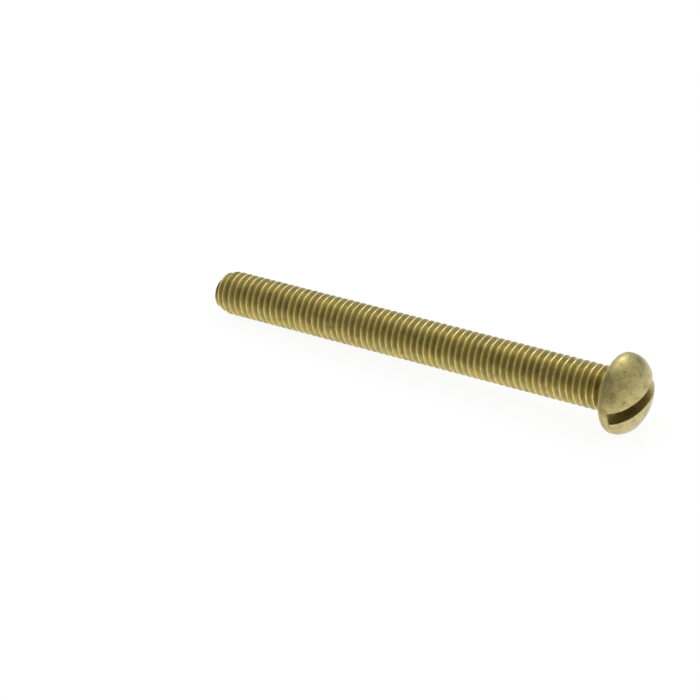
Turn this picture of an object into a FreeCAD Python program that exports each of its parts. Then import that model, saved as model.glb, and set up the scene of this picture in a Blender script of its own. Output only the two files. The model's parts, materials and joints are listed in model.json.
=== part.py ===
# Round head machine screw with a driver slot, formed from one piece of brass.
# The body's X axis is the screw's own axis, with the head at +X and the bearing face at X = 0.
# Its Placement tips it into the pose in which it lies on a flat surface, held up by the rim of
# its head and by the far end of its shank. Millimetres, +Z up, origin at the bearing face's centre.
# The shank is the envelope of the thread, so it has the thread's major diameter.
# The half-section is drawn below the axis, so the seams run along the line on which the screw lies.
import FreeCAD, Part
import math
import os
import Sketcher
from FreeCAD import Placement, Rotation, Vector

NODE = "machine_screw"

# Driving dimensions: alias, value, what it is
SIZES = (
    ("length", 49.8, "bearing face to the end of the point"),
    ("shank_diameter", 4.8, "major diameter of the thread"),
    ("point_diameter", 3.8, "end face of the tapered point"),
    ("point_length", 1.45, "length of the tapered point"),
    ("point_round", 0.2, "rounding of the end face's edge"),
    ("neck_diameter", 4.28, "plain neck between thread and head"),
    ("neck_length", 0.7, "bearing face to the start of the full shank"),
    ("neck_fillet", 0.3, "fillet from the neck into the bearing face"),
    ("head_diameter", 8.6, "head across its rim"),
    ("head_height", 3.5, "bearing face to the crown"),
    ("underside_round", 0.55, "rounding between bearing face and rim"),
    ("rim_land", 0.15, "straight land on the rim"),
    ("slot_width", 1.4, "driver slot across its walls"),
    ("slot_depth", 2.25, "driver slot below the crown"),
    ("slot_turn", 16, "degrees that the slot is turned about the axis, from level"),
    ("seam_turn", 180, "degrees from the top round to the seam"),
    ("lip_round", 0.06, "broken edge along the lips of the slot"),
)
size = {name: value for name, value, note in SIZES}

# Points of a sketch element
START, END, CENTRE = 1, 2, 3
# The sketch's own axis line and its start, which is the origin
AXIS_LINE, ORIGIN = -1, (-1, 1)


def make_sheet(doc):
    sheet = doc.addObject("Spreadsheet::Sheet", "Sizes")
    for row, (name, value, note) in enumerate(SIZES, start=1):
        sheet.set(f"A{row}", name)
        sheet.set(f"B{row}", str(value))
        sheet.setAlias(f"B{row}", name)
        sheet.set(f"C{row}", note)
    doc.recompute()


def new_sketch(body, name, turn):
    """A sketch on the body's XZ plane, turned about the screw's axis: x runs along the screw."""
    sketch = body.newObject("Sketcher::SketchObject", name)
    plane = next(item for item in body.Origin.OriginFeatures if item.Role == "XZ_Plane")
    sketch.AttachmentSupport = (plane, [""])
    sketch.MapMode = "FlatFace"
    sketch.AttachmentOffset = Placement(Vector(0, 0, 0), Rotation(Vector(1, 0, 0), size[turn]))
    sketch.setExpression("AttachmentOffset.Rotation.Angle", f"Sizes.{turn}")
    return sketch


def dimension(sketch, name, kind, refs, value, expression):
    """A named dimension that starts at its value and then follows the sheet."""
    number = sketch.addConstraint(Sketcher.Constraint(kind, *refs, value))
    sketch.renameConstraint(number, name)
    sketch.setExpression(f"Constraints.{name}", expression)


def relate(sketch, kind, *refs):
    sketch.addConstraint(Sketcher.Constraint(kind, *refs))


def line(sketch, start, end):
    return sketch.addGeometry(Part.LineSegment(start, end))


def quarter(sketch, centre, radius, right_angles):
    """A quarter circle that starts that many right angles round from the sketch's x."""
    circle = Part.Circle(centre, Vector(0, 0, 1), radius)
    begin = right_angles * math.pi / 2
    return sketch.addGeometry(Part.ArcOfCircle(circle, begin, begin + math.pi / 2))


def draw_half_section(body):
    """Half of the section, from the crown along the axis to the point and back over the outside."""
    end_x = -size["length"]
    end_r = size["point_diameter"] / 2
    shank_x = end_x + size["point_length"]
    shank_r = size["shank_diameter"] / 2
    neck_r = size["neck_diameter"] / 2
    neck_x = -size["neck_length"]
    fillet = size["neck_fillet"]
    head_r = size["head_diameter"] / 2
    under = size["underside_round"]
    land_x = under + size["rim_land"]
    crown_x = size["head_height"]

    sketch = new_sketch(body, "half_section", "seam_turn")
    axis = line(sketch, Vector(crown_x, 0), Vector(end_x, 0))
    end_face = line(sketch, Vector(end_x, 0), Vector(end_x, end_r))
    point = line(sketch, Vector(end_x, end_r), Vector(shank_x, shank_r))
    shank = line(sketch, Vector(shank_x, shank_r), Vector(neck_x, shank_r))
    shoulder = line(sketch, Vector(neck_x, shank_r), Vector(neck_x + shank_r - neck_r, neck_r))
    neck = line(sketch, Vector(neck_x + shank_r - neck_r, neck_r), Vector(-fillet, neck_r))
    neck_arc = quarter(sketch, Vector(-fillet, neck_r + fillet), fillet, 3)
    bearing = line(sketch, Vector(0, neck_r + fillet), Vector(0, head_r - under))
    under_arc = quarter(sketch, Vector(under, head_r - under), under, 1)
    land = line(sketch, Vector(under, head_r), Vector(land_x, head_r))
    far_side_x = 2 * land_x - crown_x
    dome_ellipse = Part.Ellipse(Vector(land_x, head_r), Vector(far_side_x, 0), Vector(land_x, 0))
    dome = sketch.addGeometry(Part.ArcOfEllipse(dome_ellipse, 1.5 * math.pi, 2 * math.pi))
    major_axis = dome + 1
    sketch.exposeInternalGeometry(dome)

    joins = (
        (axis, END, end_face, START),
        (end_face, END, point, START),
        (point, END, shank, START),
        (shank, END, shoulder, START),
        (shoulder, END, neck, START),
        (neck, END, neck_arc, START),
        (neck_arc, END, bearing, START),
        (bearing, END, under_arc, END),
        (under_arc, START, land, START),
        (land, END, dome, END),
        (dome, START, axis, START),
    )
    for join in joins:
        relate(sketch, "Coincident", *join)
    relate(sketch, "PointOnObject", axis, START, AXIS_LINE)
    for level in (axis, shank, neck, land):
        relate(sketch, "Horizontal", level)
    for upright in (end_face, bearing, major_axis):
        relate(sketch, "Vertical", upright)
    relate(sketch, "Vertical", *ORIGIN, bearing, START)
    relate(sketch, "Horizontal", neck_arc, CENTRE, neck_arc, END)
    relate(sketch, "Vertical", neck_arc, CENTRE, neck_arc, START)
    relate(sketch, "Horizontal", under_arc, CENTRE, under_arc, END)
    relate(sketch, "Vertical", under_arc, CENTRE, under_arc, START)
    relate(sketch, "PointOnObject", dome, CENTRE, AXIS_LINE)
    relate(sketch, "Vertical", dome, CENTRE, land, END)

    shoulder_run = shank_r - neck_r
    half_step = "(Sizes.shank_diameter - Sizes.neck_diameter) / 2"
    point_ends = (point, START, point, END)
    shoulder_ends = (shoulder, START, shoulder, END)
    land_ends = (land, START, land, END)
    dimension(sketch, "length", "DistanceX", (axis, END, *ORIGIN), -end_x, "Sizes.length")
    end_corner = (*ORIGIN, end_face, END)
    dimension(sketch, "end_radius", "DistanceY", end_corner, end_r, "Sizes.point_diameter / 2")
    point_run = size["point_length"]
    dimension(sketch, "point_length", "DistanceX", point_ends, point_run, "Sizes.point_length")
    shank_start = (*ORIGIN, shank, START)
    dimension(sketch, "shank_radius", "DistanceY", shank_start, shank_r, "Sizes.shank_diameter / 2")
    dimension(sketch, "neck_length", "DistanceX", (shank, END, *ORIGIN), -neck_x, "Sizes.neck_length")
    dimension(sketch, "neck_radius", "DistanceY", (*ORIGIN, neck, START), neck_r, "Sizes.neck_diameter / 2")
    dimension(sketch, "shoulder_run", "DistanceX", shoulder_ends, shoulder_run, half_step)
    dimension(sketch, "neck_fillet", "Radius", (neck_arc,), fillet, "Sizes.neck_fillet")
    dimension(sketch, "underside_round", "Radius", (under_arc,), under, "Sizes.underside_round")
    dimension(sketch, "head_radius", "DistanceY", (*ORIGIN, land, START), head_r, "Sizes.head_diameter / 2")
    dimension(sketch, "rim_land", "DistanceX", land_ends, size["rim_land"], "Sizes.rim_land")
    dimension(sketch, "head_height", "DistanceX", (*ORIGIN, axis, START), crown_x, "Sizes.head_height")
    return sketch


def turn_blank(body, section):
    blank = body.newObject("PartDesign::Revolution", "blank")
    blank.Profile = section
    blank.ReferenceAxis = (section, ["H_Axis"])
    blank.Angle = 360
    return blank


def draw_slot_section(body):
    """The slot's cross-section, in the XZ plane turned about the screw's axis."""
    floor_x = size["head_height"] - size["slot_depth"]
    above_x = size["head_height"] + size["slot_width"]
    half = size["slot_width"] / 2
    sketch = new_sketch(body, "slot_section", "slot_turn")
    corners = (Vector(floor_x, -half), Vector(above_x, -half), Vector(above_x, half), Vector(floor_x, half))
    lower, mouth, upper, floor = [
        line(sketch, start, end) for start, end in zip(corners, corners[1:] + corners[:1])
    ]
    for first, second in ((lower, mouth), (mouth, upper), (upper, floor), (floor, lower)):
        relate(sketch, "Coincident", first, END, second, START)
    for level in (lower, upper):
        relate(sketch, "Horizontal", level)
    relate(sketch, "Vertical", mouth)
    relate(sketch, "Symmetric", floor, START, floor, END, AXIS_LINE)
    dimension(sketch, "width", "DistanceY", (floor, END, floor, START), 2 * half, "Sizes.slot_width")
    dimension(
        sketch, "floor", "DistanceX", (*ORIGIN, floor, START), floor_x,
        "Sizes.head_height - Sizes.slot_depth",
    )
    dimension(
        sketch, "mouth", "DistanceX", (*ORIGIN, mouth, START), above_x,
        "Sizes.head_height + Sizes.slot_width",
    )
    return sketch


def cut_slot(body, section):
    slot = body.newObject("PartDesign::Pocket", "driver_slot")
    slot.Profile = section
    slot.Type = "ThroughAll"
    slot.Midplane = True
    return slot


def edge_names(shape, wanted):
    """Names of the edges that pass a test."""
    return [f"Edge{number}" for number, edge in enumerate(shape.Edges, start=1) if wanted(edge)]


def is_end_face_edge(edge):
    box = edge.BoundBox
    return abs(box.XMin + size["length"]) < 1e-6 and abs(box.XMax + size["length"]) < 1e-6


def is_slot_lip(edge):
    """A lip runs over the dome, so it reaches from the slot's floor nearly to the crown."""
    floor_x = size["head_height"] - size["slot_depth"]
    box = edge.BoundBox
    return box.XMin > floor_x - 1e-6 and box.XLength > size["slot_depth"] / 2


def round_edges(body, name, base, wanted, radius):
    edges = edge_names(base.Shape, wanted)
    fillet = body.newObject("PartDesign::Fillet", name)
    fillet.Base = (base, edges)
    fillet.Radius = size[radius]
    fillet.setExpression("Radius", f"Sizes.{radius}")
    return fillet


def lay_down(body):
    """Tips the screw until the rim and the start of the full shank touch one level surface."""
    rise = (size["head_diameter"] - size["shank_diameter"]) / 2
    span = size["length"] - size["point_length"] + size["underside_round"]
    tilt = math.degrees(math.asin(rise / span))
    body.Placement = Placement(Vector(0, 0, 0), Rotation(Vector(0, -1, 0), tilt))
    body.setExpression(
        "Placement.Rotation.Angle",
        "asin((Sizes.head_diameter - Sizes.shank_diameter) / 2"
        " / (Sizes.length - Sizes.point_length + Sizes.underside_round))",
    )


def check(doc, body, unslotted, slotted):
    for item in doc.Objects:
        bad = {"Invalid", "Error"} & set(item.State)
        if bad:
            raise RuntimeError(f"{item.Name} is {sorted(bad)}")
    slot_box = size["slot_width"] * size["slot_depth"] * size["head_diameter"]
    if unslotted.Shape.Volume - slotted.Shape.Volume < slot_box / 2:
        raise RuntimeError("the slot is not cut")
    if body.Shape.isNull() or not body.Shape.isValid() or len(body.Shape.Solids) != 1:
        raise RuntimeError("the screw is not one valid solid")


def main():
    doc = FreeCAD.newDocument("RoundHeadMachineScrew")
    make_sheet(doc)
    body = doc.addObject("PartDesign::Body", NODE)
    body.Label = NODE
    blank = turn_blank(body, draw_half_section(body))
    doc.recompute()
    point = round_edges(body, "point_edge", blank, is_end_face_edge, "point_round")
    doc.recompute()
    slot = cut_slot(body, draw_slot_section(body))
    doc.recompute()
    round_edges(body, "slot_lips", slot, is_slot_lip, "lip_round")
    lay_down(body)
    doc.recompute()
    check(doc, body, point, slot)
    os.makedirs("parts", exist_ok=True)
    body.Shape.exportStep(f"parts/{NODE}.step")
    box = body.Shape.BoundBox
    tilt = math.degrees(body.Placement.Rotation.Angle)
    print(NODE, "volume", round(body.Shape.Volume, 3), "mm3, lies tilted by", round(tilt, 3), "degrees")
    print("box", [round(value, 4) for value in (box.XMin, box.YMin, box.ZMin, box.XMax, box.YMax, box.ZMax)])


main()
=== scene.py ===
import json
import math

import bmesh
import bpy
from mathutils import Matrix, Vector, noise


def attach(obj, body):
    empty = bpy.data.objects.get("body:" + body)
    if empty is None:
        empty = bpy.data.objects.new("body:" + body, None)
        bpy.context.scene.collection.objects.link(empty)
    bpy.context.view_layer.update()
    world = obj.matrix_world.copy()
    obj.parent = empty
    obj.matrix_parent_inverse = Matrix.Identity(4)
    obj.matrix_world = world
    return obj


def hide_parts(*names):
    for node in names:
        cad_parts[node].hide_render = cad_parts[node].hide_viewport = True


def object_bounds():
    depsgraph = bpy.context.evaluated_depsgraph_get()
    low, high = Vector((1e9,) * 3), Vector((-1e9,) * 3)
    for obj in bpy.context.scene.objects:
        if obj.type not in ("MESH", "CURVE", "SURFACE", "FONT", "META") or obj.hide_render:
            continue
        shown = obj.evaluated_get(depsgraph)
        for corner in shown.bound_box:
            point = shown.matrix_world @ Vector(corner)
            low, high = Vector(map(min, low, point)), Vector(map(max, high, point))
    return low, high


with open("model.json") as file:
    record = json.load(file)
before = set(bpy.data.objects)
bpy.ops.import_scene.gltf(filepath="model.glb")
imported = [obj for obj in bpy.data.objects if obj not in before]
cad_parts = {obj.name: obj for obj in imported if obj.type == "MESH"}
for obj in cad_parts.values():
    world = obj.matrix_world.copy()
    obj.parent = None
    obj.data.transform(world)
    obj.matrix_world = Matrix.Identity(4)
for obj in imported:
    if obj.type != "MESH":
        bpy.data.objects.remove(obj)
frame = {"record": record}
cadBounds = [list(corner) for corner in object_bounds()]
mounts = {mount["name"]: mount for mount in frame["record"]["mounts"]}

# The screw is shaped in millimetres on its own axis, with the bearing face at x = 0
# and the head at +x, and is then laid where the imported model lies
perMetre = 1000
shankMount = mounts["shank"]
screwAxis = -Vector(shankMount["axis"])
bearingCentre = Vector(mounts["bearing_face"]["pos_m"])
shankMiddle = (Vector(shankMount["pos_m"]) - bearingCentre).dot(screwAxis) * perMetre
shankRadius = shankMount["dims"]["r_mm"]
neckEnd = shankMiddle + shankMount["dims"]["length_mm"] / 2
pointStart = shankMiddle - shankMount["dims"]["length_mm"] / 2
slotFloor = (Vector(mounts["driver_slot"]["pos_m"]) - bearingCentre).dot(screwAxis) * perMetre

screwUp = (Vector((0, 0, 1)) - screwAxis * screwAxis.z).normalized()
screwSide = screwUp.cross(screwAxis)
layDown = Matrix.Translation(bearingCentre) @ Matrix(
    [[screwAxis[i], screwSide[i], screwUp[i]] for i in range(3)]
).to_4x4() @ Matrix.Scale(1 / perMetre, 4)

tolerance = {
    "cut": 0.0005,           # also welds what the cuts leave double
    "threadWeld": 0.004,     # between one turn of the thread and the next
    "rimWeld": 0.05,         # round a cut end, before rings grow from it
    "level": 0.001,
    "wall": 0.002,
    "lip": 0.004,
    "sharp": 33,             # degrees between two faces that meet in a sharp edge
}


def smoothStep(value, low, high):
    t = min(1, max(0, (value - low) / (high - low)))
    return t * t * (3 - 2 * t)


def vertsOf(items):          # each one once, and in the same order on each run
    return list(dict.fromkeys(vertex for item in items for vertex in item.verts))


def withEdges(faces):
    return list(dict.fromkeys(item for face in faces for item in (face, *face.edges, *face.verts)))


def facesAbove(bm, x):
    return [face for face in bm.faces if face.calc_center_median().x > x]


def axisDistance(vertex):
    return math.hypot(vertex.co.y, vertex.co.z)


def setRadius(vertex, radius):
    share = radius / axisDistance(vertex)
    vertex.co.y *= share
    vertex.co.z *= share


def cutAcross(bm, x, faces=None, outward=0):
    geom = bm.verts[:] + bm.edges[:] + bm.faces[:] if faces is None else withEdges(faces)
    bmesh.ops.bisect_plane(
        bm, geom=geom, dist=tolerance["cut"], plane_co=(x, 0, 0), plane_no=(outward or 1, 0, 0),
        clear_outer=bool(outward),
    )


def boundaryAt(bm, x):
    return [
        edge for edge in bm.edges
        if edge.is_boundary and all(abs(vertex.co.x - x) < tolerance["level"] for vertex in edge.verts)
    ]


def endLoop(bm, x):
    bmesh.ops.remove_doubles(bm, verts=vertsOf(boundaryAt(bm, x)), dist=tolerance["rimWeld"])
    return boundaryAt(bm, x)


# Blender's own extrude makes its faces in an order that changes from run to run
def growRing(bm, edges, x, radius):
    grown = {vertex: bm.verts.new(vertex.co, vertex) for vertex in vertsOf(edges)}
    for vertex in grown.values():
        vertex.co.x = x
        setRadius(vertex, radius)
    ring = []
    for edge in edges:
        last = edge.link_loops[0].vert
        first = edge.other_vert(last)
        bm.faces.new((first, last, grown[last], grown[first]))
        ring.append(bm.edges.get((grown[first], grown[last])))
    return ring


def closeRing(bm, edges, x):
    bmesh.ops.pointmerge(bm, verts=vertsOf(edges), merge_co=(x, 0, 0))


thread = {
    "pitch": 0.79375,
    "depth": 0.45,
    "segments": 96,          # round one turn
    "lead": 1.868,           # turns before the point, which sets where the crests fall
    "halfProfile": (         # root to crest, as shares of the pitch and of the depth
        (0, 0), (0.06, 0.02), (0.11, 0.09), (0.353, 0.85), (0.39, 0.965), (0.415, 0.993), (0.5, 1),
    ),
    "plainBand": 0.05,       # plain shank between the neck and the thread
    "runOut": 0.6,           # length over which the thread fades out towards the head
    "crestWear": 0.012,
    "wearSpread": 0.4,       # more of this wears more of the crests
    "wearSteps": (0.9, 3.1), # waves in a millimetre, of the broad and of the fine wear
    "fineWear": 0.5,         # against the broad
    "rubbedFrom": 0.96,      # share of the depth, from which crests are polished and take a painted highlight
    # tarnish on the thread below the crests, and painted shade that deepens towards the valleys
    "dirt": 0.46,
    "dirtInValley": 0.3,     # share of the tarnish and painted shade that grows towards the valley
    "cleanCrest": 0.12,      # share of the depth
    # place along the screw, degrees round it from the front, length and depth
    "nicks": ((-34.0, 7, 0.42, 0.14), (-43.9, 94, 0.4, 0.1), (-33.0, 87, 0.25, 0.06)),
    "nickSides": (1, 0.3),   # where a nick starts and where it is deepest, in its lengths
    "nickStain": (1.2, 0.4),
    "nickDirt": 0.65,
}


def spinThread(bm):
    pitch = thread["pitch"]
    rootRadius = shankRadius - thread["depth"]
    half = thread["halfProfile"]
    profile = half + tuple((1 - along, rise) for along, rise in reversed(half[:-1]))
    start = pointStart - point["length"] - thread["lead"] * pitch
    line = [
        bm.verts.new((start + along * pitch, 0, rootRadius + thread["depth"] * rise))
        for along, rise in profile
    ]
    edges = [bm.edges.new(pair) for pair in zip(line, line[1:])]
    bmesh.ops.spin(
        bm, geom=line + edges, cent=(0, 0, 0), axis=(1, 0, 0),
        dvec=(pitch / thread["segments"], 0, 0), angle=2 * math.pi, steps=thread["segments"],
        use_merge=False,
    )
    turns = 1
    while start + turns * pitch < neckEnd:   # the turns so far are set beside themselves
        copied = bmesh.ops.duplicate(bm, geom=bm.verts[:] + bm.edges[:] + bm.faces[:])["geom"]
        copiedVertices = [item for item in copied if isinstance(item, bmesh.types.BMVert)]
        bmesh.ops.translate(bm, verts=copiedVertices, vec=(turns * pitch, 0, 0))
        turns *= 2
    bmesh.ops.remove_doubles(bm, verts=bm.verts, dist=tolerance["threadWeld"])


# Blender spins its faces in such an order too, and the cuts go by it
def inOrder(bm):
    ordered = bmesh.new()
    vertices = [ordered.verts.new(vertex.co) for vertex in bm.verts]
    bm.verts.index_update()
    for corners in sorted([vertex.index for vertex in face.verts] for face in bm.faces):
        ordered.faces.new([vertices[corner] for corner in corners])
    bm.free()
    return ordered


def fromNick(vertex, place, turned, length):
    aside = (math.atan2(vertex.co.z, -vertex.co.y) - math.radians(turned)) * shankRadius
    aside = math.remainder(aside, 2 * math.pi * shankRadius)
    return math.hypot((vertex.co.x - place) / length, aside / length)


def wearAt(spot):
    broad, fine = thread["wearSteps"]
    worn = noise.noise(spot * broad) + thread["fineWear"] * noise.noise(spot * fine)
    return max(0, worn + thread["wearSpread"])


def shapeThread(bm, dirt, rubbed):
    depth = thread["depth"]
    fadeStart = neckEnd - thread["plainBand"]
    tip = pointStart - point["length"]
    slope = (shankRadius - point["endRadius"]) / point["length"]
    inValley = thread["dirtInValley"]
    for vertex in bm.verts:
        rise = (axisDistance(vertex) - shankRadius + depth) / depth
        fade = smoothStep(vertex.co.x, fadeStart, fadeStart - thread["runOut"])
        cone = point["endRadius"] + slope * max(0, vertex.co.x - tip)
        root = min(shankRadius - depth * fade, cone - point["valleyDepth"])
        radius = root + (shankRadius - root) * rise if fade < 1 else root + depth * rise
        radius = min(radius, cone, shankRadius)
        radius -= thread["crestWear"] * rise * fade * wearAt(vertex.co)
        # tarnish below the crests, and painted shade growing towards the valley
        dirtAndShadeMask = (1 - inValley) * smoothStep(1 - rise, 0, thread["cleanCrest"]) + inValley * (1 - rise)
        vertex[dirt] = thread["dirt"] * dirtAndShadeMask
        # lighter crests: polish, and a painted highlight
        vertex[rubbed] = smoothStep(rise, thread["rubbedFrom"], 1) * fade
        for place, turned, length, nickDepth in thread["nicks"]:
            away = fromNick(vertex, place, turned, length)
            radius -= nickDepth * rise * smoothStep(away, *thread["nickSides"])
            stained = thread["nickDirt"] * smoothStep(away, *thread["nickStain"])
            vertex[dirt] = max(vertex[dirt], stained)
        setRadius(vertex, radius)


point = {
    "length": 1.45,
    "endRadius": 1.9,
    "edgeRound": 0.14,
    "roundSteps": (0.1, 0.3, 0.6, 1),
    "nearTip": 0.24,         # how far in the cuts for the rounding reach
    "valleyDepth": 0.4,      # of the thread where it runs out over the point
    "endRings": (1.42, 1.2, 0.95, 0.7, 0.45, 0.2),
    "roughness": 0.025,
    "lumpSteps": (1.7, 4.3), # waves in a millimetre, of the broad and of the fine lumps
    "fineLumps": 0.6,        # against the broad
    "lumpSpread": 0.5,       # more of this lifts more of the end face
    "dirt": 0.15,
}


def lumpAt(spot):
    broad, fine = point["lumpSteps"]
    lump = noise.noise(spot * broad) + point["fineLumps"] * noise.noise(spot * fine)
    return max(0, lump + point["lumpSpread"])


def formPoint(bm, dirt, rubbed):
    tip = pointStart - point["length"]
    edgeRound = point["edgeRound"]
    cutAcross(bm, tip, outward=-1)
    nearTip = [face for face in bm.faces if face.calc_center_median().x < tip + point["nearTip"]]
    for share in point["roundSteps"]:
        cutAcross(bm, tip + share * edgeRound, [face for face in nearTip if face.is_valid])
    for vertex in bm.verts:
        inside = vertex.co.x - tip
        if inside < edgeRound:
            drop = edgeRound - math.sqrt(max(0, edgeRound ** 2 - (edgeRound - inside) ** 2))
            setRadius(vertex, axisDistance(vertex) - drop)
    edges = endLoop(bm, tip)
    for radius in point["endRings"]:
        edges = growRing(bm, edges, tip, radius)
        for vertex in vertsOf(edges):
            vertex.co.x = tip + point["roughness"] * lumpAt(vertex.co)
            vertex[dirt] = point["dirt"]
            vertex[rubbed] = 0
    closeRing(bm, edges, tip)


head = {
    "neckRadius": 2.14,
    "neckFillet": 0.3,
    "filletSteps": (22.5, 45, 67.5, 90),
    "radius": 4.3,
    "height": 3.5,
    "undersideRound": 0.55,
    "undersideSteps": (15, 30, 45, 60, 75, 90),
    "rimLand": 0.15,
    "domeRings": 30,
    # painted shade in the neck, on its fillet and on the bearing face under the head, and a painted dark
    # reflection along the rim
    "neckDirt": 0.2,
    "filletDirt": 0.3,
    "faceRings": ((2.75, 0.4), (3.3, 0.15)),   # radius on the bearing face and the painted shade there
    "rimDirt": 0.35,
}


def domeBase():
    return head["undersideRound"] + head["rimLand"]


def domeHeight(radius):
    rise = head["height"] - domeBase()
    return domeBase() + rise * math.sqrt(max(0, 1 - (radius / head["radius"]) ** 2))


def formHead(bm, dirt, onHead):
    cutAcross(bm, neckEnd, outward=1)
    edges = endLoop(bm, neckEnd)
    neck, fillet, underRound = head["neckRadius"], head["neckFillet"], head["undersideRound"]
    rings = [                # place along the screw, radius and painted shade
        (neckEnd + shankRadius - neck, neck, head["neckDirt"]),
        (-fillet, neck, head["filletDirt"]),
    ]
    for turn in map(math.radians, head["filletSteps"]):
        x = -fillet * (1 - math.sin(turn))
        rings.append((x, neck + fillet * (1 - math.cos(turn)), head["filletDirt"]))
    rings += [(0, radius, paintedShade) for radius, paintedShade in head["faceRings"]]
    rings.append((0, head["radius"] - underRound, 0))
    for turn in map(math.radians, head["undersideSteps"]):
        radius = head["radius"] - underRound * (1 - math.sin(turn))
        rings.append((underRound * (1 - math.cos(turn)), radius, head["rimDirt"] * math.sin(turn)))
    rings.append((domeBase(), head["radius"], head["rimDirt"]))
    for number in range(1, head["domeRings"]):
        turn = math.pi / 2 * number / head["domeRings"]
        x = domeBase() + (head["height"] - domeBase()) * math.sin(turn)
        rings.append((x, head["radius"] * math.cos(turn), 0))
    for x, radius, paintedShade in rings:
        edges = growRing(bm, edges, x, radius)
        for vertex in vertsOf(edges):
            vertex[dirt] = paintedShade
            vertex[onHead] = 1
    closeRing(bm, edges, head["height"])


slot = {
    "width": 1.4,
    "turn": 16,              # degrees about the axis, from level
    "brokenEdge": 0.06,
    "snap": 0.028,           # points of the dome this near to a cut are drawn onto it
    "clearOfRim": 0.3,       # and those lower on the rim than this stay
    "wallInset": 0.05,
    # painted highlight along the slot's broken lips
    "rubbedLip": 0.8,
    "dirt": 0.28,
    "dirtFrom": 0.2,         # depth below the dome at which the painted shade is full
}


def snapToLines(dome, across, lines):
    for vertex in vertsOf(dome):
        for offset in lines:
            miss = offset - vertex.co.dot(across)
            if abs(miss) < slot["snap"] and vertex.co.x > head["undersideRound"] + slot["clearOfRim"]:
                vertex.co += across * miss
                vertex.co.x = domeHeight(axisDistance(vertex))


# The slot's upper edges sink a little into the dome, so that its lips are broken
def breakLips(openEdges, across, wall):
    domeRise = head["height"] - domeBase()
    for vertex in vertsOf(openEdges):
        if abs(abs(vertex.co.dot(across)) - wall) < tolerance["wall"]:
            inward = Vector((
                -vertex.co.x / domeRise ** 2,
                -vertex.co.y / head["radius"] ** 2,
                -vertex.co.z / head["radius"] ** 2,
            ))
            inward -= across * inward.dot(across)
            onFloor = vertex.co.x < slotFloor + tolerance["level"]
            vertex.co += inward.normalized() * slot["brokenEdge"]
            if onFloor:
                vertex.co.x = slotFloor


def closeSlot(bm, openEdges, across, wall):
    floorEdges = [
        edge for edge in openEdges
        if all(abs(vertex.co.x - slotFloor) < tolerance["level"] for vertex in edge.verts)
    ]
    corners = []
    for side in (-1, 1):
        lipEdges = [
            edge for edge in openEdges
            if all(abs(v.co.dot(across) - side * wall) < tolerance["wall"] for v in edge.verts)
        ]
        ends = [
            vertex for edge in lipEdges for vertex in edge.verts
            if sum(other in vertex.link_edges for other in lipEdges) == 1
        ]
        corners.append(bm.edges.new(ends))
        bmesh.ops.edgeloop_fill(bm, edges=lipEdges + corners[-1:])
    bmesh.ops.edgeloop_fill(bm, edges=floorEdges + corners)
    walls = [
        face for edge in corners for face in edge.link_faces
        if face.calc_center_median().x > slotFloor + slot["wallInset"]
    ]
    bmesh.ops.inset_region(
        bm, faces=walls, thickness=slot["wallInset"], use_boundary=True, use_even_offset=False,
    )
    return walls


def cutSlot(bm, dirt, rubbed):
    turn = math.radians(slot["turn"])
    across = Vector((0, -math.sin(turn), math.cos(turn)))
    wall = slot["width"] / 2
    lip = wall + slot["brokenEdge"]
    lines = (-lip, -wall, wall, lip)

    def between(face):
        return abs(face.calc_center_median().dot(across)) < wall

    dome = facesAbove(bm, head["undersideRound"])
    snapToLines(dome, across, lines)
    for offset in lines:
        bmesh.ops.bisect_plane(
            bm, geom=withEdges(dome), dist=tolerance["cut"], plane_co=across * offset, plane_no=across,
        )
        dome = facesAbove(bm, head["undersideRound"])
    cutAcross(bm, slotFloor, [face for face in dome if between(face)])
    waste = [face for face in facesAbove(bm, slotFloor) if between(face)]
    bmesh.ops.delete(bm, geom=waste, context="FACES")
    openEdges = [edge for edge in bm.edges if edge.is_boundary]
    breakLips(openEdges, across, wall)
    walls = closeSlot(bm, openEdges, across, wall)

    # the broken lips of the slot get a painted highlight
    for vertex in bm.verts:
        onLip = abs(abs(vertex.co.dot(across)) - lip) < tolerance["lip"]
        if onLip and vertex.co.x > slotFloor:
            vertex[rubbed] = slot["rubbedLip"]
    # painted shade in the slot, growing with depth below the dome and full on its floor and walls
    inSlot = [face for face in facesAbove(bm, slotFloor - tolerance["level"]) if between(face)] + walls
    for vertex in vertsOf(inSlot):
        below = domeHeight(axisDistance(vertex)) - vertex.co.x
        onFloor = abs(vertex.co.x - slotFloor) < tolerance["level"]
        vertex[dirt] = slot["dirt"] * (1 if onFloor else smoothStep(below, 0, slot["dirtFrom"]))
    for vertex in vertsOf(walls):
        vertex[dirt] = slot["dirt"]


def finishMesh(bm, name):
    bmesh.ops.remove_doubles(bm, verts=bm.verts, dist=tolerance["cut"])
    bmesh.ops.triangulate(bm, faces=[face for face in bm.faces if len(face.verts) > 4])
    bmesh.ops.recalc_face_normals(bm, faces=bm.faces)
    for face in bm.faces:
        face.smooth = True
    for edge in bm.edges:
        edge.smooth = edge.calc_face_angle(0) < math.radians(tolerance["sharp"])
    bmesh.ops.transform(bm, matrix=layDown, verts=bm.verts)
    mesh = bpy.data.meshes.new(name)
    bm.to_mesh(mesh)
    bm.free()
    piece = bpy.data.objects.new(name, mesh)
    bpy.context.scene.collection.objects.link(piece)
    return piece


def makeScrew():
    bm = bmesh.new()
    spinThread(bm)
    bm = inOrder(bm)
    dirt = bm.verts.layers.float.new("dirt")
    onHead = bm.verts.layers.float.new("onHead")
    rubbed = bm.verts.layers.float.new("rubbed")
    shapeThread(bm, dirt, rubbed)
    print("thread", len(bm.faces), "faces")
    formPoint(bm, dirt, rubbed)
    formHead(bm, dirt, onHead)
    cutSlot(bm, dirt, rubbed)
    loose = [edge for edge in bm.edges if len(edge.link_faces) != 2]
    print("head, point and slot", len(bm.faces), "faces,", len(loose), "open or crowded edges")
    return finishMesh(bm, "screwInBrass")


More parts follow.
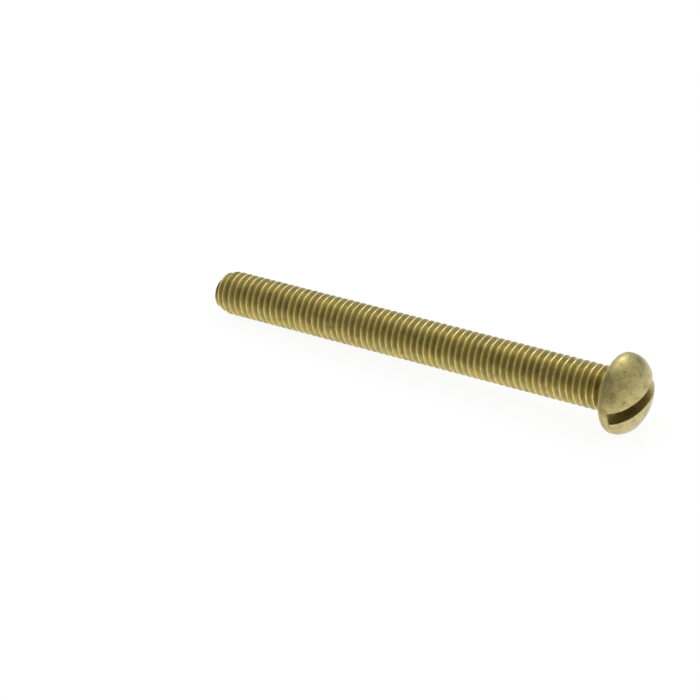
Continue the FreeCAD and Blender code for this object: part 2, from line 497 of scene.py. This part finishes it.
# A shader value that takes part in sums
class Wire:
    def __init__(self, shader, socket):
        self.shader = shader
        self.socket = socket

    def sum(self, operation, *values, clamp=False):
        settings = {"operation": operation, "use_clamp": clamp}
        return self.shader.add("Math", settings, dict(enumerate(values)))

    def __add__(self, other):
        return self.sum("ADD", self, other)

    def __sub__(self, other):
        return self.sum("SUBTRACT", self, other)

    def __rsub__(self, other):
        return self.sum("SUBTRACT", other, self)

    def __mul__(self, other):
        return self.sum("MULTIPLY", self, other)

    __radd__ = __add__
    __rmul__ = __mul__

    def clamped(self):
        return self.sum("ADD", self, 0, clamp=True)

    def ramp(self, low, high):   # from 0 at low to 1 at high, which may lie below low
        limits = {"From Min": low, "From Max": high, "Value": self}
        return self.shader.add("MapRange", {"interpolation_type": "SMOOTHSTEP"}, limits)


class Shader:
    def __init__(self, tree):
        self.tree = tree
        tree.nodes.clear()

    def add(self, kind, settings=None, values=None, output=0):
        node = self.tree.nodes.new("ShaderNode" + kind)
        for name, value in (settings or {}).items():
            setattr(node, name, value)
        for name, value in (values or {}).items():
            if isinstance(value, Wire):
                self.tree.links.new(value.socket, node.inputs[name])
            else:
                node.inputs[name].default_value = value
        return Wire(self, node.outputs[output]) if node.outputs else None

    def noise(self, place, size, detail, roughness):
        values = {"Vector": place, "Scale": 1 / size, "Detail": detail, "Roughness": roughness}
        return self.add("TexNoise", values=values)

    def painted(self, name):
        return self.add("Attribute", {"attribute_name": name}, output="Fac")

    def mixColours(self, factor, first, second):
        return self.add("Mix", {"data_type": "RGBA"}, {0: factor, 6: first, 7: second}, 2)

    def parts(self, vector):
        first = self.add("SeparateXYZ", values={"Vector": vector})
        return [Wire(self, output) for output in first.socket.node.outputs]


brass = {
    "shank": (0.66, 0.53, 0.128, 1),
    "head": (0.605, 0.512, 0.195, 1),
    # polished brass, which also paints highlights on the crests and the slot's lips
    "rubbed": (0.82, 0.72, 0.38, 1),
    "tarnish": (0.27, 0.21, 0.07, 1),
    # dark tarnish colour, which also paints shade in the valleys, neck, slot and under the head, and a dark
    # reflection on the rim
    "valley": (0.21, 0.165, 0.045, 1),
    # size in metres, detail and roughness of the three patterns
    "blotch": (0.001, 4, 0.55),
    "spot": (0.0004, 2, 0.5),
    "grain": (0.00016, 3, 0.6),
    # where in its pattern each stain starts and is full, and how strong it is
    "blotchStain": (0.44, 0.64, 0.42),
    "grainStain": (0.4, 0.75, 0.35),
    "spotStain": (0.58, 0.72, 0.4),
    "stain": 0.8,
    "headStain": 0.35,       # how much more the head is stained
    "rub": 0.85,
    "rubSpots": (0.2, 0.6),
    "crustBlotch": (0.35, 0.6),
    "crustLeast": 0.75,      # share of the dirt and painted shade that lies everywhere, beside the blotches
    "roughness": (0.28, 0.42),
    "headRoughness": 0.06,   # how much rougher the head is
    "dirtRoughness": 0.15,
    "mainShare": 0.6,        # of blotches in the roughness, and of grain in the bump
    "bump": 0.5,
    "bumpHeight": 0.00002,
    "film": 0.7,             # the thin clear skin that old brass grows
    "filmRoughness": 0.35,
}


def stainFrom(pattern, name):
    low, high, strength = brass[name]
    return pattern.ramp(low, high) * strength


def brassMaterial():
    material = bpy.data.materials.new("tarnishedBrass")
    material.use_nodes = True
    shader = Shader(material.node_tree)
    place = shader.add("TexCoord", output="Object")
    blotch = shader.noise(place, *brass["blotch"])
    grain = shader.noise(place, *brass["grain"])
    spot = shader.noise(place, *brass["spot"])
    dirt, onHead, rubbed = [shader.painted(name) for name in ("dirt", "onHead", "rubbed")]

    stain = stainFrom(blotch, "blotchStain") + stainFrom(grain, "grainStain") + stainFrom(spot, "spotStain")
    stain = stain * (brass["stain"] + brass["headStain"] * onHead)
    # dirt and tarnish, with painted shade in the valleys, neck, slot and under the head, and a painted dark
    # reflection on the rim
    dirtAndShadeMask = dirt * (brass["crustLeast"] + (1 - brass["crustLeast"]) * blotch.ramp(*brass["crustBlotch"]))
    # polished wear on the crests, which also paints highlights there and on the slot's lips
    wearAndHighlight = rubbed * spot.ramp(*brass["rubSpots"]) * brass["rub"]
    colour = shader.mixColours(onHead, brass["shank"], brass["head"])
    colour = shader.mixColours(wearAndHighlight, colour, brass["rubbed"])
    colour = shader.mixColours(stain.clamped(), colour, brass["tarnish"])
    colour = shader.mixColours(dirtAndShadeMask, colour, brass["valley"])

    low, high = brass["roughness"]
    main = brass["mainShare"]
    roughness = low + (high - low) * (blotch * main + grain * (1 - main))
    roughness = roughness + onHead * brass["headRoughness"] + dirt * brass["dirtRoughness"]
    bump = shader.add("Bump", values={
        "Strength": brass["bump"], "Distance": brass["bumpHeight"],
        "Height": grain * main + blotch * (1 - main),
    })
    principled = shader.add("BsdfPrincipled", values={
        "Base Color": colour, "Roughness": roughness, "Metallic": 1, "Normal": bump,
        "Coat Weight": brass["film"], "Coat Roughness": brass["filmRoughness"],
    })
    shader.add("OutputMaterial", values={"Surface": principled})
    return material


screw = makeScrew()
screw.data.materials.append(brassMaterial())
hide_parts("machine_screw")
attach(screw, "root")
print("screw laid in place")

stage = {
    "floorSize": 6,
    "floorGlow": 0.92,
    "floorColour": (0.9, 0.9, 0.9, 1),
    "white": (1, 1, 1, 1),
    "dimLevel": 0.3,         # of the floor before the screw, as the metal shows it
    "dimFront": 0.7,         # share of that floor that is shown dim
    "dimEdge": (0, -0.015),  # from beside the screw towards the front
    "headEnd": (-0.01, 0),   # along the screw, where the dim part starts further in front
    "headStep": 0.01,
}


def dimInMetal(shader):
    along, across = shader.parts(shader.add("TexCoord", output="Object"))[:2]
    away = across + along.ramp(*stage["headEnd"]) * stage["headStep"]
    isGlossy = shader.add("LightPath", output="Is Glossy Ray")
    return isGlossy * away.ramp(*stage["dimEdge"]) * stage["dimFront"]


def makeFloor():
    bm = bmesh.new()
    bmesh.ops.create_grid(bm, x_segments=1, y_segments=1, size=stage["floorSize"])
    bmesh.ops.translate(bm, verts=bm.verts, vec=(0, 0, cadBounds[0][2]))
    mesh = bpy.data.meshes.new("floor")
    bm.to_mesh(mesh)
    bm.free()
    floor = bpy.data.objects.new("floor", mesh)
    bpy.context.scene.collection.objects.link(floor)
    material = bpy.data.materials.new("whitePaper")
    material.use_nodes = True
    shader = Shader(material.node_tree)
    paper = shader.add("BsdfDiffuse", values={"Color": stage["floorColour"]})
    glow = shader.add("Emission", values={"Color": stage["white"], "Strength": 1})
    dim = shader.add("Emission", values={"Color": stage["white"], "Strength": stage["dimLevel"]})
    seen = shader.add("MixShader", values={0: dimInMetal(shader), 1: glow, 2: dim})
    rays = [
        shader.add("LightPath", output=name)
        for name in ("Is Camera Ray", "Is Glossy Ray", "Is Transmission Ray")
    ]
    looking = (rays[0] + rays[1] + rays[2]).clamped() * stage["floorGlow"]
    mixed = shader.add("MixShader", values={0: looking, 1: paper, 2: seen})
    shader.add("OutputMaterial", values={"Surface": mixed})
    material.cycles.emission_sampling = "NONE"   # its glow is only for rays that look at it
    mesh.materials.append(material)


studio = {
    "dim": 0.3,              # what the metal shows of the room in front and overhead
    "bright": 0.62,          # and to the right, to the far left and behind
    "halo": 0.5,             # how much brighter it is round the lamp
    "haloSide": (-0.4, 0.42, 0.81),
    "haloEdge": (0.64, 0.94),
    "farWall": 0.38,         # how much dimmer it is low at the back
    # the bright sides, by the part of a direction that points right or back
    "rightSide": (0.15, 0.85),
    "farLeft": (-0.65, -0.95),
    "backSide": (-0.12, 0.2),
    # and the low part of the back that isn't bright, up and from left to right
    "lowUp": (0.05, 0.4),
    "lowRight": (-0.4, 0),
    # the far wall, back, up, and its left and right ends
    "wallBack": (0.55, 0.85),
    "wallUp": (0.45, 0.7),
    "wallLeft": (-0.45, -0.15),
    "wallRight": (0.1, 0.4),
    "daylight": 1.15,
    "lampPlace": (-0.14, 0.29, 0.44),
    "lampAim": (-0.02, 0, 0),
    "lampSize": 0.16,
    "lampPower": 0.26,
}


def roomInMetal(shader, direction):
    toRight, toBack, height = shader.parts(direction)
    toLamp = shader.add(
        "VectorMath", {"operation": "DOT_PRODUCT"}, {0: direction, 1: studio["haloSide"]}, "Value",
    )
    low = (1 - height.ramp(*studio["lowUp"])) * toRight.ramp(*studio["lowRight"])
    behind = toBack.ramp(*studio["backSide"]) * (1 - low)
    shade = (1 - toRight.ramp(*studio["rightSide"])) * (1 - behind)
    shade = shade * (1 - toRight.ramp(*studio["farLeft"]))
    seen = studio["bright"] - shade * (studio["bright"] - studio["dim"])
    farWall = toBack.ramp(*studio["wallBack"]) * (1 - height.ramp(*studio["wallUp"]))
    farWall = farWall * toRight.ramp(*studio["wallLeft"]) * (1 - toRight.ramp(*studio["wallRight"]))
    return seen * (1 - farWall * studio["farWall"]) + toLamp.ramp(*studio["haloEdge"]) * studio["halo"]


def makeWorld():
    world = bpy.data.worlds.new("studio")
    bpy.context.scene.world = world
    world.use_nodes = True
    shader = Shader(world.node_tree)
    seen = roomInMetal(shader, shader.add("TexCoord", output="Generated"))
    isCamera = shader.add("LightPath", output="Is Camera Ray")
    isDiffuse = shader.add("LightPath", output="Is Diffuse Ray")
    level = isCamera + isDiffuse * studio["daylight"] + (1 - isCamera - isDiffuse) * seen
    background = shader.add("Background", values={"Color": stage["white"], "Strength": level})
    shader.add("OutputWorld", values={"Surface": background})
    world.cycles.sampling_method = "NONE"   # each ray asks for its own level


def makeLamp():
    lamp = bpy.data.lights.new("softLamp", "AREA")
    lamp.size = studio["lampSize"]
    lamp.energy = studio["lampPower"]
    holder = bpy.data.objects.new("softLamp", lamp)
    bpy.context.scene.collection.objects.link(holder)
    holder.location = studio["lampPlace"]
    backward = Vector(studio["lampPlace"]) - Vector(studio["lampAim"])
    holder.rotation_euler = backward.to_track_quat("Z", "Y").to_euler()


view = {
    "target": (-0.03267, -0.00053, -0.004277),
    "backward": (0.5028, -0.7380, 0.4502),
    "distance": 0.3442,
    "lens": 164.05,
    "sensor": 36,
    "clip": (0.01, 50),
}


def makeCamera():
    data = bpy.data.cameras.new("camera")
    data.lens = view["lens"]
    data.sensor_width = view["sensor"]
    data.clip_start, data.clip_end = view["clip"]
    camera = bpy.data.objects.new("camera", data)
    bpy.context.scene.collection.objects.link(camera)
    backward = Vector(view["backward"]).normalized()
    camera.location = Vector(view["target"]) + backward * view["distance"]
    camera.rotation_euler = backward.to_track_quat("Z", "Y").to_euler()
    bpy.context.scene.camera = camera


makeFloor()
makeWorld()
makeLamp()
makeCamera()
bpy.context.scene.view_settings.view_transform = "Standard"
print("floor, lights and camera set")
